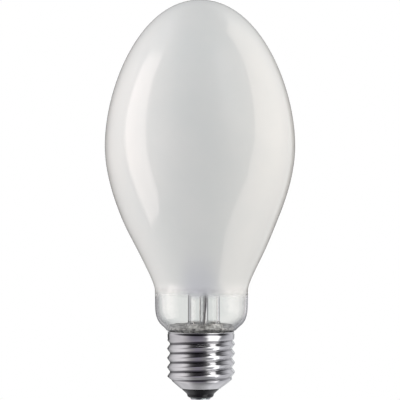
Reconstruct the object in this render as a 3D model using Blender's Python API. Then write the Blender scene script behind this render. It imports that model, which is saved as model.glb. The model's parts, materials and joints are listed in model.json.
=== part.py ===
"""High pressure sodium lamp with an elliptical coated bulb and a screw cap.

The lamp stands upright on its cap, with its axis along +Z and the bottom of
the centre contact at the origin. All sizes are in metres. Heights are stacked
from the contact upwards, so a change of one height carries what is above it.
"""

import math

import bmesh
import bpy
from mathutils import Matrix, Vector

# Gaps between pieces that touch or are sealed to each other
SEAT_GAP = 0.0002
WIRE_CLEARANCE = 0.00025

# Lead wires
LEAD_RADIUS = 0.0004
LEAD_SPACING = 0.0058
LEAD_BULGE = 0.0008
LEAD_BEND_HEIGHT = 0.0040
LEAD_END_HEIGHT = 0.0080

# Centre contact and its solder
SOLDER_HEIGHT = 0.0004
SOLDER_LAND_RADIUS = 0.0015
SOLDER_RADIUS = 0.0021
CONTACT_HEIGHT = 0.0007
CONTACT_LAND_RADIUS = 0.0027
CONTACT_RADIUS = 0.0039

# Black glass insulator of the cap
INSULATOR_DROP = 0.0037
INSULATOR_LAND_RADIUS = 0.0042
INSULATOR_RIM_RADIUS = 0.0053
INSULATOR_SHOULDER_RADIUS = 0.0074
INSULATOR_CUP_HEIGHT = 0.0033
INSULATOR_CUP_CHAMFER = 0.0008
INSULATOR_HOLE_CLEARANCE = 0.0007

# Rolled screw shell
SHELL_WALL = 0.00025
SHELL_MOUTH_RADIUS = 0.00785
CONE_HEIGHT = 0.0053
THREAD_LENGTH = 0.0143
THREAD_PITCH = 0.0254 / 7
THREAD_RADIUS = 0.0132
THREAD_DEPTH = 0.0011
THREAD_PHASE = math.radians(129)
THREAD_RUN_IN = 0.0008
THREAD_RUN_OUT = 0.0014
BAND_HEIGHT = 0.0025
BAND_RADIUS = 0.0130
BAND_BEAD = 0.0001

# Blown bulb
BULB_WALL = 0.0008
BULB_RADIUS = 0.0371
NECK_RADIUS = 0.01806
NECK_TOP_RADIUS = 0.01816
FOOT_OVERHANG = 0.00055
FOOT_RISE = 0.0006
TUCK_DEPTH = 0.0015
TUCK_INSET = 0.00065
SHOULDER_HEIGHT = 0.0097
NECK_LENGTH = 0.0058
FLANK_HEIGHT = 0.0563
CROWN_HEIGHT = 0.0570

# Flared stem with its press
STEM_OFFSET = 0.0015
STEM_RADIUS = 0.0059
STEM_WALL = 0.0008
COLLAR_HEIGHT = 0.0015
COLLAR_OVERHANG = 0.0011
FLARE_RADIUS = 0.0016
TUBE_HEIGHT = 0.0164
PRESS_HEIGHT = 0.0100
PRESS_THICKNESS = 0.0038

# Exhaust tube
EXHAUST_RADIUS = 0.0017
EXHAUST_BORE_RADIUS = 0.0010
EXHAUST_LENGTH = 0.0285

# Cement between bulb and cap
CEMENT_DROP = 0.0060
CEMENT_THICKNESS = 0.0030
CEMENT_CHAMFER = 0.0005

# Solder joint between the second lead and the shell
JOINT_RADIUS = 0.0006
JOINT_DROP = 0.0012

# Arc tube and the metal that carries it
FEED_TUBE_STANDOFF = 0.0144
ARC_TUBE_LENGTH = 0.0460
ARC_TUBE_RADIUS = 0.0030
ARC_TUBE_WALL = 0.0007
PLUG_LENGTH = 0.0035
SEAL_RING_HEIGHT = 0.0008
FEED_TUBE_RADIUS = 0.00065
FEED_TUBE_BORE_RADIUS = 0.00035
FEED_TUBE_REACH = 0.0080
ELECTRODE_RADIUS = 0.0003
ELECTRODE_LENGTH = 0.0060
COIL_WIRE_RADIUS = 0.00014
COIL_PITCH = 0.00045
COIL_TURNS = 3
COIL_TIP_SETBACK = 0.0008
AMALGAM_RADIUS = 0.0006

# Frame, straps and getters
FRAME_RADIUS = 0.0008
FRAME_OFFSET = 0.0100
FRAME_FOOT_HEIGHT = 0.0045
FRAME_SPREAD_HEIGHT = 0.0115
FRAME_TOP_REACH = 0.0050
FRAME_BEND_RADIUS = 0.0035
STRAP_WIDTH = 0.0020
STRAP_THICKNESS = 0.0004
GETTER_RADIUS = 0.0034
GETTER_BORE_RADIUS = 0.0018
GETTER_HEIGHT = 0.0011
GETTER_SPACING = 0.0160
GETTER_HEIGHT_ON_ROD = 0.0110

# Facets round each kind of turned piece
BULB_SEGMENTS = 40
SHELL_SEGMENTS = 32
STEM_SEGMENTS = 24
ARC_TUBE_SEGMENTS = 16
SMALL_SEGMENTS = 12
WIRE_SEGMENTS = 8
ROWS_PER_PITCH = 7

# Heights that follow from the sizes above
CONTACT_BOTTOM = SOLDER_HEIGHT + SEAT_GAP
INSULATOR_BOTTOM = CONTACT_BOTTOM + CONTACT_HEIGHT + SEAT_GAP
SHELL_BOTTOM = INSULATOR_BOTTOM + INSULATOR_DROP
THREAD_BOTTOM = SHELL_BOTTOM + CONE_HEIGHT
THREAD_TOP = THREAD_BOTTOM + THREAD_LENGTH
SHELL_TOP = THREAD_TOP + BAND_HEIGHT
BULB_BOTTOM = SHELL_TOP - TUCK_DEPTH
FOOT = SHELL_TOP + FOOT_RISE
NECK_BOTTOM = FOOT + SHOULDER_HEIGHT
NECK_TOP = NECK_BOTTOM + NECK_LENGTH
EQUATOR = NECK_TOP + FLANK_HEIGHT
BULB_TOP = EQUATOR + CROWN_HEIGHT
COLLAR_BOTTOM = FOOT + BULB_WALL
COLLAR_TOP = COLLAR_BOTTOM + COLLAR_HEIGHT
PRESS_BOTTOM = COLLAR_TOP + TUBE_HEIGHT
PRESS_TOP = PRESS_BOTTOM + PRESS_HEIGHT
EXHAUST_TOP = PRESS_BOTTOM - STEM_RADIUS / 3
EXHAUST_BOTTOM = EXHAUST_TOP - EXHAUST_LENGTH
CEMENT_BOTTOM = BULB_BOTTOM - CEMENT_DROP
FEED_BOTTOM = PRESS_TOP + FEED_TUBE_STANDOFF
ARC_TUBE_BOTTOM = FEED_BOTTOM + FEED_TUBE_REACH
ARC_TUBE_TOP = ARC_TUBE_BOTTOM + ARC_TUBE_LENGTH
FEED_TOP = ARC_TUBE_TOP + FEED_TUBE_REACH
LOWER_STRAP_HEIGHT = FEED_BOTTOM + STRAP_WIDTH
UPPER_STRAP_HEIGHT = FEED_TOP - STRAP_WIDTH
FRAME_FOOT = PRESS_TOP + FRAME_FOOT_HEIGHT
FRAME_UPRIGHT = FRAME_FOOT + FRAME_SPREAD_HEIGHT
FRAME_TOP = FEED_TOP + FRAME_TOP_REACH

# Radii that follow from the sizes above
THREAD_MEAN_RADIUS = THREAD_RADIUS - THREAD_DEPTH / 2
FOOT_RADIUS = BAND_RADIUS + FOOT_OVERHANG
TUCK_RADIUS = BAND_RADIUS - TUCK_INSET
SKIRT_RADIUS = TUCK_RADIUS - BULB_WALL - SEAT_GAP
SKIRT_BORE_RADIUS = SKIRT_RADIUS - STEM_WALL
STEM_BORE_RADIUS = STEM_RADIUS - STEM_WALL
BAND_BORE_RADIUS = BAND_RADIUS - BAND_BEAD - SHELL_WALL
THREAD_BORE_RADIUS = THREAD_RADIUS - THREAD_DEPTH - SHELL_WALL
LEAD_HOLE_RADIUS = LEAD_RADIUS + WIRE_CLEARANCE
ARC_TUBE_BORE_RADIUS = ARC_TUBE_RADIUS - ARC_TUBE_WALL


def remove_old_objects():
    for old in list(bpy.data.objects):
        bpy.data.objects.remove(old, do_unlink=True)


def material(name, colour, roughness, metallic=0.0, transmission=0.0):
    made = bpy.data.materials.new(name)
    made.use_nodes = True
    shader = made.node_tree.nodes["Principled BSDF"]
    shader.inputs["Base Color"].default_value = (*colour, 1.0)
    shader.inputs["Roughness"].default_value = roughness
    shader.inputs["Metallic"].default_value = metallic
    shader.inputs["Transmission Weight"].default_value = transmission
    return made


def add_object(name, data, finish):
    data.materials.append(finish)
    made = bpy.data.objects.new(name, data)
    bpy.context.scene.collection.objects.link(made)
    return made


def object_from_bmesh(name, form, finish, sharp_angle=math.radians(35)):
    bmesh.ops.recalc_face_normals(form, faces=form.faces)
    mesh = bpy.data.meshes.new(name)
    form.to_mesh(mesh)
    form.free()
    mesh.shade_smooth()
    mesh.set_sharp_from_angle(angle=sharp_angle)
    return add_object(name, mesh, finish)


def turned_form(profile, segments):
    """Spin (radius, height) points round the axis.

    The profile's ends lie on the axis, or its last point joins its first.
    """
    form = bmesh.new()
    points = [form.verts.new((radius, 0.0, height)) for radius, height in profile]
    edges = [form.edges.new(pair) for pair in zip(points, points[1:])]
    if profile[0][0] > 0.0:
        edges.append(form.edges.new((points[-1], points[0])))
    bmesh.ops.spin(
        form,
        geom=points + edges,
        cent=(0.0, 0.0, 0.0),
        axis=(0.0, 0.0, 1.0),
        angle=math.tau,
        steps=segments,
        use_merge=True,
    )
    bmesh.ops.remove_doubles(form, verts=form.verts, dist=1e-6)
    return form


def turned(name, profile, segments, finish):
    return object_from_bmesh(name, turned_form(profile, segments), finish)


def ring(name, inner, outer, bottom, top, segments, finish):
    profile = [(inner, bottom), (outer, bottom), (outer, top), (inner, top)]
    return turned(name, profile, segments, finish)


def bezier(start, start_handle, end_handle, end, steps):
    """Points on a cubic curve, without its first point."""
    points = []
    for step in range(1, steps + 1):
        t = step / steps
        weights = ((1 - t) ** 3, 3 * t * (1 - t) ** 2, 3 * t * t * (1 - t), t**3)
        corners = (start, start_handle, end_handle, end)
        points.append(
            tuple(sum(w * c[axis] for w, c in zip(weights, corners)) for axis in (0, 1))
        )
    return points


def between(start, end, share):
    return start + (end - start) * share


def smooth_step(value, start, end):
    """0 up to start and 1 from end, with a smooth rise between them."""
    share = min(max((value - start) / (end - start), 0.0), 1.0)
    return share * share * (3 - 2 * share)


def direction(profile, index):
    """Which way the profile runs at one of its points."""
    before = profile[max(index - 1, 0)]
    after = profile[min(index + 1, len(profile) - 1)]
    return Vector((after[0] - before[0], after[1] - before[1])).normalized()


def offset_inward(profile, distance):
    """Move an outer profile, read upwards, by a wall. Its ends stay level."""
    moved = []
    for index, (radius, height) in enumerate(profile):
        run = direction(profile, index)
        if radius == 0.0:
            moved.append((0.0, height - distance))
        elif index in (0, len(profile) - 1):
            moved.append((radius - distance / run.y, height))
        else:
            moved.append((radius - run.y * distance, height + run.x * distance))
    return moved


def wire(name, points, radius, finish, resolution=1, samples=6):
    """A round wire along a smooth curve through the given points."""
    path = smooth_path(points, samples)
    curve = bpy.data.curves.new(name, "CURVE")
    curve.dimensions = "3D"
    curve.bevel_depth = radius
    curve.bevel_resolution = resolution
    curve.use_fill_caps = True
    spline = curve.splines.new("POLY")
    spline.points.add(len(path) - 1)
    for point, place in zip(spline.points, path):
        point.co = (*place, 1.0)
    return add_object(name, curve, finish)


def smooth_path(points, samples):
    """Catmull-Rom curve through the points, with a few samples to each span."""
    if samples == 1:
        return [Vector(point) for point in points]
    places = [Vector(point) for point in points]
    padded = [2 * places[0] - places[1], *places, 2 * places[-1] - places[-2]]
    path = [places[0]]
    for a, b, c, d in zip(padded, padded[1:], padded[2:], padded[3:]):
        for step in range(1, samples + 1):
            t = step / samples
            path.append(
                0.5
                * (
                    2 * b
                    + (c - a) * t
                    + (2 * a - 5 * b + 4 * c - d) * t**2
                    + (3 * b - a - 3 * c + d) * t**3
                )
            )
    return path


def strip(name, centre, size, finish):
    """A flat metal strip with its middle at the centre given."""
    form = bmesh.new()
    place = Matrix.Translation(centre) @ Matrix.Diagonal((*size, 1.0))
    bmesh.ops.create_cube(form, size=1.0, matrix=place)
    return object_from_bmesh(name, form, finish)


def bulb_outline(steps, bend_steps):
    """The bulb's outside, from its bottom edge up to its top on the axis."""
    tuck = [(TUCK_RADIUS, BULB_BOTTOM)]
    tuck += bezier(
        (TUCK_RADIUS, BULB_BOTTOM + TUCK_DEPTH / 2),
        (TUCK_RADIUS, FOOT - FOOT_RISE / 2),
        (FOOT_RADIUS - TUCK_INSET, FOOT - FOOT_RISE / 2),
        (FOOT_RADIUS, FOOT),
        bend_steps,
    )
    shoulder = bezier(
        (FOOT_RADIUS, FOOT),
        (FOOT_RADIUS + 0.16 * SHOULDER_HEIGHT, FOOT + 0.22 * SHOULDER_HEIGHT),
        (NECK_RADIUS, NECK_BOTTOM - 0.77 * SHOULDER_HEIGHT),
        (NECK_RADIUS, NECK_BOTTOM),
        bend_steps,
    )
    flank = bezier(
        (NECK_TOP_RADIUS, NECK_TOP),
        (NECK_TOP_RADIUS, NECK_TOP + 0.115 * FLANK_HEIGHT),
        (BULB_RADIUS, EQUATOR - 0.43 * FLANK_HEIGHT),
        (BULB_RADIUS, EQUATOR),
        steps,
    )
    crown = bezier(
        (BULB_RADIUS, EQUATOR),
        (BULB_RADIUS, EQUATOR + 0.40 * CROWN_HEIGHT),
        (0.63 * BULB_RADIUS, BULB_TOP),
        (0.0, BULB_TOP),
        steps,
    )
    return tuck + shoulder + [(NECK_TOP_RADIUS, NECK_TOP)] + flank + crown


def make_outer_bulb(finish):
    outside = bulb_outline(10, 5)
    inside = offset_inward(bulb_outline(6, 4), BULB_WALL)
    profile = outside[::-1] + inside
    return turned("outer_bulb", profile, BULB_SEGMENTS, finish)


def thread_wave(angle, height):
    """How far the rolled wall stands out at this place, fading at both ends.

    The wave turns right-handed: its crest rises as the angle grows.
    """
    turn = (height - THREAD_TOP) / THREAD_PITCH - (angle + THREAD_PHASE) / math.tau
    fade_in = smooth_step(height, THREAD_BOTTOM, THREAD_BOTTOM + THREAD_RUN_OUT)
    fade_out = smooth_step(height, THREAD_TOP, THREAD_TOP - THREAD_RUN_IN)
    return THREAD_DEPTH / 2 * math.cos(math.tau * turn) * fade_in * fade_out


def shell_outline():
    """The shell's outside without its thread, from its mouth up to its rim."""
    cone = [(SHELL_MOUTH_RADIUS, SHELL_BOTTOM)]
    cone += bezier(
        (SHELL_MOUTH_RADIUS, SHELL_BOTTOM),
        (SHELL_MOUTH_RADIUS + 0.46 * CONE_HEIGHT, SHELL_BOTTOM + 0.38 * CONE_HEIGHT),
        (THREAD_MEAN_RADIUS, THREAD_BOTTOM - 0.35 * CONE_HEIGHT),
        (THREAD_MEAN_RADIUS, THREAD_BOTTOM),
        6,
    )
    rows = round(THREAD_LENGTH / THREAD_PITCH * ROWS_PER_PITCH)
    thread = [
        (THREAD_MEAN_RADIUS, between(THREAD_BOTTOM, THREAD_TOP, row / rows))
        for row in range(1, rows + 1)
    ]
    band = [
        (BAND_RADIUS - BAND_BEAD, THREAD_TOP + 0.22 * BAND_HEIGHT),
        (BAND_RADIUS + BAND_BEAD, THREAD_TOP + 0.40 * BAND_HEIGHT),
        (BAND_RADIUS, THREAD_TOP + 0.62 * BAND_HEIGHT),
        (BAND_RADIUS, SHELL_TOP),
    ]
    return cone + thread + band


def make_screw_shell(finish):
    """The thread is rolled in thin sheet, so it shows inside as well."""
    outside = shell_outline()
    inside = offset_inward(outside, SHELL_WALL)
    form = turned_form(outside + inside[::-1], SHELL_SEGMENTS)
    for vertex in form.verts:
        angle = math.atan2(vertex.co.y, vertex.co.x)
        radius = vertex.co.xy.length
        stretch = 1 + thread_wave(angle, vertex.co.z) / radius
        vertex.co.x *= stretch
        vertex.co.y *= stretch
    return object_from_bmesh("screw_shell", form, finish)


def make_cap_insulator(finish):
    """Black glass that fills the shell's cone and stands out below it."""
    cup_top = SHELL_BOTTOM + INSULATOR_CUP_HEIGHT
    hole = LEAD_RADIUS + INSULATOR_HOLE_CLEARANCE
    seat = offset_inward(shell_outline(), SHELL_WALL + SEAT_GAP)
    cup = [point for point in seat if point[1] < cup_top]
    rim_top = INSULATOR_BOTTOM + 0.40 * INSULATOR_DROP
    flank = bezier(
        (INSULATOR_RIM_RADIUS, rim_top),
        (
            between(INSULATOR_RIM_RADIUS, INSULATOR_SHOULDER_RADIUS, 0.08),
            INSULATOR_BOTTOM + 0.48 * INSULATOR_DROP,
        ),
        (
            between(INSULATOR_RIM_RADIUS, INSULATOR_SHOULDER_RADIUS, 0.78),
            INSULATOR_BOTTOM + 0.80 * INSULATOR_DROP,
        ),
        (INSULATOR_SHOULDER_RADIUS, SHELL_BOTTOM - SEAT_GAP),
        4,
    )
    profile = [
        (hole, INSULATOR_BOTTOM),
        (INSULATOR_LAND_RADIUS, INSULATOR_BOTTOM),
        (
            between(INSULATOR_LAND_RADIUS, INSULATOR_RIM_RADIUS, 0.75),
            INSULATOR_BOTTOM + 0.13 * INSULATOR_DROP,
        ),
        (INSULATOR_RIM_RADIUS, rim_top),
        *flank,
        (cup[0][0], SHELL_BOTTOM - SEAT_GAP),
        *cup,
        (cup[-1][0] - INSULATOR_CUP_CHAMFER, cup_top),
        (hole, cup_top),
    ]
    return turned("cap_insulator", profile, STEM_SEGMENTS, finish)


def make_contact(plate_finish, solder_finish):
    """A dished plate with a hole for the wire, closed by solder below."""
    top = CONTACT_BOTTOM + CONTACT_HEIGHT
    plate = [
        (LEAD_HOLE_RADIUS, CONTACT_BOTTOM),
        (CONTACT_LAND_RADIUS, CONTACT_BOTTOM),
        (
            between(CONTACT_LAND_RADIUS, CONTACT_RADIUS, 0.45),
            CONTACT_BOTTOM + 0.15 * CONTACT_HEIGHT,
        ),
        (CONTACT_RADIUS, CONTACT_BOTTOM + 0.65 * CONTACT_HEIGHT),
        (CONTACT_RADIUS, top),
        (LEAD_HOLE_RADIUS, top),
    ]
    turned("centre_contact", plate, STEM_SEGMENTS, plate_finish)
    solder = [
        (0.0, 0.0),
        (SOLDER_LAND_RADIUS, 0.0),
        (between(SOLDER_LAND_RADIUS, SOLDER_RADIUS, 0.7), 0.3 * SOLDER_HEIGHT),
        (SOLDER_RADIUS, SOLDER_HEIGHT),
        (0.0, SOLDER_HEIGHT),
    ]
    turned("contact_solder", solder, STEM_SEGMENTS, solder_finish)


def make_cement_ring(finish):
    """Cement under the bulb's edge, between the shell and the stem's skirt."""
    groove_side = THREAD_BORE_RADIUS - SEAT_GAP
    band_side = BAND_BORE_RADIUS - SEAT_GAP
    skirt_side = SKIRT_BORE_RADIUS - SEAT_GAP
    inner = groove_side - CEMENT_THICKNESS
    ledge = BULB_BOTTOM - SEAT_GAP
    top = COLLAR_TOP - STEM_WALL - 2 * SEAT_GAP
    profile = [
        (inner, CEMENT_BOTTOM),
        (groove_side, CEMENT_BOTTOM),
        (groove_side, THREAD_TOP),
        (band_side, THREAD_TOP + 0.22 * BAND_HEIGHT),
        (band_side, ledge),
        (skirt_side, ledge),
        (skirt_side, top - CEMENT_CHAMFER),
        (skirt_side - CEMENT_CHAMFER, top),
        (inner + CEMENT_CHAMFER, top),
        (inner, top - CEMENT_CHAMFER),
    ]
    return turned("cement_ring", profile, STEM_SEGMENTS, finish)


def stem_profile():
    """Outside and inside of the stem, read upwards, before it is pressed."""
    collar = SKIRT_RADIUS + COLLAR_OVERHANG
    tube_middle = between(COLLAR_TOP, PRESS_BOTTOM, 0.5)
    ceiling = COLLAR_TOP - STEM_WALL
    outside = [
        (SKIRT_RADIUS, BULB_BOTTOM),
        (SKIRT_RADIUS, COLLAR_BOTTOM - BULB_WALL),
        (collar, COLLAR_BOTTOM + 0.2 * COLLAR_HEIGHT),
        (collar, COLLAR_BOTTOM + 0.6 * COLLAR_HEIGHT),
        (collar - 0.5 * COLLAR_OVERHANG, COLLAR_BOTTOM + 0.9 * COLLAR_HEIGHT),
        (STEM_RADIUS + FLARE_RADIUS, COLLAR_TOP),
        (STEM_RADIUS + 0.3 * FLARE_RADIUS, COLLAR_TOP + 0.3 * FLARE_RADIUS),
        (STEM_RADIUS, COLLAR_TOP + FLARE_RADIUS),
        (STEM_RADIUS, tube_middle),
        (STEM_RADIUS, PRESS_BOTTOM),
        (STEM_RADIUS, PRESS_BOTTOM + 0.18 * PRESS_HEIGHT),
        (STEM_RADIUS, PRESS_BOTTOM + 0.36 * PRESS_HEIGHT),
        (STEM_RADIUS, PRESS_TOP - 0.5 * STEM_WALL),
        (STEM_RADIUS - 0.5 * STEM_WALL, PRESS_TOP),
        (0.0, PRESS_TOP),
    ]
    inside = [
        (SKIRT_BORE_RADIUS, BULB_BOTTOM),
        (SKIRT_BORE_RADIUS, ceiling - 0.5 * STEM_WALL),
        (SKIRT_BORE_RADIUS - 0.5 * STEM_WALL, ceiling),
        (STEM_BORE_RADIUS + FLARE_RADIUS, ceiling),
        (STEM_BORE_RADIUS + 0.3 * FLARE_RADIUS, ceiling + 0.3 * FLARE_RADIUS),
        (STEM_BORE_RADIUS, COLLAR_TOP + FLARE_RADIUS),
        (STEM_BORE_RADIUS, tube_middle),
        (STEM_BORE_RADIUS, PRESS_BOTTOM - 0.7 * STEM_BORE_RADIUS),
        (0.6 * STEM_BORE_RADIUS, PRESS_BOTTOM - 0.2 * STEM_BORE_RADIUS),
        (0.0, PRESS_BOTTOM),
    ]
    return outside, inside


def make_stem(finish):
    """Skirt and collar sealed in the neck, then the tube, then the flat press.

    The tube stands a little off the lamp's axis, and the leads pass through
    the press.
    """
    outside, inside = stem_profile()
    form = turned_form(outside[::-1] + inside, STEM_SEGMENTS)
    squeeze = PRESS_THICKNESS / (2 * STEM_RADIUS)
    flare_edge = STEM_RADIUS + FLARE_RADIUS
    for vertex in form.verts:
        radius = vertex.co.xy.length
        height = vertex.co.z
        pressed = smooth_step(height, PRESS_BOTTOM, PRESS_BOTTOM + 0.36 * PRESS_HEIGHT)
        vertex.co.x *= between(1, squeeze, pressed)
        near_tube = smooth_step(radius, SKIRT_BORE_RADIUS - STEM_WALL, flare_edge)
        above_skirt = smooth_step(height, COLLAR_BOTTOM - STEM_WALL, COLLAR_TOP - STEM_WALL)
        vertex.co.x += STEM_OFFSET * near_tube * above_skirt
    stem = object_from_bmesh("stem", form, finish)
    for side in (-1, 1):
        cut_lead_bore(stem, side)
    return stem


def cut_lead_bore(stem, side):
    """A bore through the press for one lead, from the tube up to the top."""
    form = bmesh.new()
    bmesh.ops.create_cone(
        form,
        cap_ends=True,
        segments=WIRE_SEGMENTS,
        radius1=LEAD_HOLE_RADIUS,
        radius2=LEAD_HOLE_RADIUS,
        depth=2 * PRESS_HEIGHT,
    )
    mesh = bpy.data.meshes.new("lead_bore_cutter")
    form.to_mesh(mesh)
    form.free()
    cutter = bpy.data.objects.new("lead_bore_cutter", mesh)
    bpy.context.scene.collection.objects.link(cutter)
    cutter.location = (STEM_OFFSET, side * LEAD_SPACING / 2, PRESS_TOP - 0.3 * PRESS_HEIGHT)
    cutter.hide_render = True
    cutter.display_type = "WIRE"
    cut = stem.modifiers.new("lead_bore", "BOOLEAN")
    cut.operation = "DIFFERENCE"
    cut.object = cutter


def make_exhaust_tube(finish):
    """Open under the press and drawn to a closed tip in the cap."""
    tip = 1.5 * EXHAUST_RADIUS
    profile = [
        (0.0, EXHAUST_BOTTOM),
        (0.45 * EXHAUST_RADIUS, EXHAUST_BOTTOM + 0.15 * tip),
        (0.85 * EXHAUST_RADIUS, EXHAUST_BOTTOM + 0.6 * tip),
        (EXHAUST_RADIUS, EXHAUST_BOTTOM + tip),
        (EXHAUST_RADIUS, EXHAUST_TOP),
        (EXHAUST_BORE_RADIUS, EXHAUST_TOP),
        (EXHAUST_BORE_RADIUS, EXHAUST_BOTTOM + 1.3 * tip),
        (0.0, EXHAUST_BOTTOM + 0.9 * tip),
    ]
    tube = turned("exhaust_tube", profile, SMALL_SEGMENTS, finish)
    tube.location.x = STEM_OFFSET


def through_press(side):
    """Where a lead passes the press and bends back to the lamp's middle."""
    spread = side * LEAD_SPACING / 2
    return [
        (STEM_OFFSET, spread, PRESS_BOTTOM - 2 * LEAD_RADIUS),
        (STEM_OFFSET, spread, PRESS_TOP + 2 * LEAD_RADIUS),
        (0.0, spread, PRESS_TOP + LEAD_BEND_HEIGHT),
    ]


def make_centre_lead(finish):
    """From the centre contact, past the exhaust tip, to the lower strap."""
    front = -LEAD_SPACING / 2
    cup_top = SHELL_BOTTOM + INSULATOR_CUP_HEIGHT
    path = [
        (0.0, 0.0, CONTACT_BOTTOM + SEAT_GAP),
        (0.0, 0.0, between(INSULATOR_BOTTOM, cup_top, 0.5)),
        (0.0, 0.0, cup_top + LEAD_RADIUS),
        (0.3 * STEM_OFFSET, 0.7 * front, between(cup_top, EXHAUST_BOTTOM, 0.7)),
        (0.7 * STEM_OFFSET, front, EXHAUST_BOTTOM + EXHAUST_RADIUS),
        (STEM_OFFSET, front, COLLAR_TOP),
        (STEM_OFFSET + LEAD_BULGE, front, between(COLLAR_TOP, PRESS_BOTTOM, 0.6)),
        *through_press(-1),
        (0.0, front, LOWER_STRAP_HEIGHT + STRAP_WIDTH / 2),
    ]
    wire("centre_lead_wire", path, LEAD_RADIUS, finish, samples=3)


def shell_joint_height():
    """The crest at the back of the shell that lies nearest below the cement."""
    crest = THREAD_TOP + (math.radians(90) + THREAD_PHASE) / math.tau * THREAD_PITCH
    while crest > CEMENT_BOTTOM - JOINT_DROP:
        crest -= THREAD_PITCH
    return crest


def make_shell_lead(finish, solder_finish):
    """From the shell's wall, up through the cement ring, to the frame's foot."""
    back = LEAD_SPACING / 2
    height = shell_joint_height()
    joint = THREAD_RADIUS - SHELL_WALL - 1.5 * JOINT_RADIUS
    end = joint - JOINT_RADIUS - SEAT_GAP
    path = [
        (0.0, end, height),
        (0.0, between(end, back, 0.25), height),
        (0.2 * STEM_OFFSET, between(end, back, 0.7), height + 2 * LEAD_RADIUS),
        (0.5 * STEM_OFFSET, between(end, back, 0.95), between(height, COLLAR_TOP, 0.4)),
        (STEM_OFFSET, back, COLLAR_TOP),
        *through_press(1),
        (0.0, back, PRESS_TOP + LEAD_END_HEIGHT),
    ]
    wire("shell_lead_wire", path, LEAD_RADIUS, finish, samples=3)
    form = bmesh.new()
    bmesh.ops.create_icosphere(form, subdivisions=1, radius=JOINT_RADIUS)
    bmesh.ops.translate(form, verts=form.verts, vec=(0.0, joint, height))
    object_from_bmesh("shell_solder", form, solder_finish)


def make_arc_tube(alumina, niobium, seal, tungsten, amalgam):
    """The alumina tube, closed at each end by a plug round a feed tube."""
    ring(
        "arc_tube",
        ARC_TUBE_BORE_RADIUS,
        ARC_TUBE_RADIUS,
        ARC_TUBE_BOTTOM,
        ARC_TUBE_TOP,
        ARC_TUBE_SEGMENTS,
        alumina,
    )
    make_arc_tube_end("upper", ARC_TUBE_TOP, -1, alumina, niobium, seal, tungsten)
    make_arc_tube_end("lower", ARC_TUBE_BOTTOM, 1, alumina, niobium, seal, tungsten)
    form = bmesh.new()
    bmesh.ops.create_icosphere(form, subdivisions=1, radius=AMALGAM_RADIUS)
    beside_electrode = ELECTRODE_RADIUS + AMALGAM_RADIUS + SEAT_GAP
    on_plug = ARC_TUBE_BOTTOM + PLUG_LENGTH + AMALGAM_RADIUS + SEAT_GAP
    bmesh.ops.translate(form, verts=form.verts, vec=(beside_electrode, 0.0, on_plug))
    object_from_bmesh("amalgam_bead", form, amalgam)


def make_arc_tube_end(name, end, inward, alumina, niobium, seal, tungsten):
    """Plug, seal, feed tube and electrode at the height of one tube end.

    Inward is 1 where the tube lies above this end and -1 where it lies below.
    """
    plug_hole = FEED_TUBE_RADIUS + SEAT_GAP
    plug_inner = end + inward * PLUG_LENGTH
    low, high = sorted((end, plug_inner))
    plug_radius = ARC_TUBE_BORE_RADIUS - SEAT_GAP
    ring(f"{name}_plug", plug_hole, plug_radius, low, high, SMALL_SEGMENTS, alumina)
    seal_inner = end - inward * SEAT_GAP
    low, high = sorted((seal_inner, seal_inner - inward * SEAL_RING_HEIGHT))
    seal_radius = between(ARC_TUBE_BORE_RADIUS, ARC_TUBE_RADIUS, 0.6)
    ring(f"{name}_seal_ring", plug_hole, seal_radius, low, high, SMALL_SEGMENTS, seal)
    low, high = sorted((plug_inner, end - inward * FEED_TUBE_REACH))
    ring(
        f"{name}_feed_tube",
        FEED_TUBE_BORE_RADIUS,
        FEED_TUBE_RADIUS,
        low,
        high,
        WIRE_SEGMENTS,
        niobium,
    )
    rod_foot = plug_inner + inward * SEAT_GAP
    rod_tip = rod_foot + inward * ELECTRODE_LENGTH
    rod = [(0.0, rod_foot), (ELECTRODE_RADIUS, rod_foot), (ELECTRODE_RADIUS, rod_tip), (0.0, rod_tip)]
    turned(f"{name}_electrode", rod, WIRE_SEGMENTS, tungsten)
    make_electrode_coil(f"{name}_electrode_coil", rod_tip, inward, tungsten)


def make_electrode_coil(name, rod_tip, inward, tungsten):
    """Wire wound round the rod, just behind its tip."""
    radius = ELECTRODE_RADIUS + COIL_WIRE_RADIUS + SEAT_GAP / 2
    start = rod_tip - inward * (COIL_TURNS * COIL_PITCH + COIL_TIP_SETBACK)
    helix = []
    for step in range(COIL_TURNS * WIRE_SEGMENTS + 1):
        turns = step / WIRE_SEGMENTS
        angle = math.tau * turns
        height = start + inward * COIL_PITCH * turns
        helix.append((radius * math.cos(angle), radius * math.sin(angle), height))
    wire(name, helix, COIL_WIRE_RADIUS, tungsten, resolution=0, samples=1)


def make_frame(metal):
    """The side rod stands beside the back lead and bends over the arc tube."""
    foot = LEAD_SPACING / 2 + LEAD_RADIUS + FRAME_RADIUS + SEAT_GAP
    path = [
        (0.0, foot, FRAME_FOOT),
        (0.0, foot, between(FRAME_FOOT, FRAME_UPRIGHT, 0.3)),
        (0.0, between(foot, FRAME_OFFSET, 0.9), between(FRAME_FOOT, FRAME_UPRIGHT, 0.9)),
        (0.0, FRAME_OFFSET, FRAME_UPRIGHT + FRAME_BEND_RADIUS),
        (0.0, FRAME_OFFSET, FRAME_TOP - 2 * FRAME_BEND_RADIUS),
        (0.0, FRAME_OFFSET, FRAME_TOP - FRAME_BEND_RADIUS),
        (0.0, FRAME_OFFSET - 0.3 * FRAME_BEND_RADIUS, FRAME_TOP - 0.3 * FRAME_BEND_RADIUS),
        (0.0, FRAME_OFFSET - FRAME_BEND_RADIUS, FRAME_TOP),
        (0.0, 0.0, FRAME_TOP),
    ]
    wire("frame_rod", path, FRAME_RADIUS, metal, samples=3)


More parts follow.
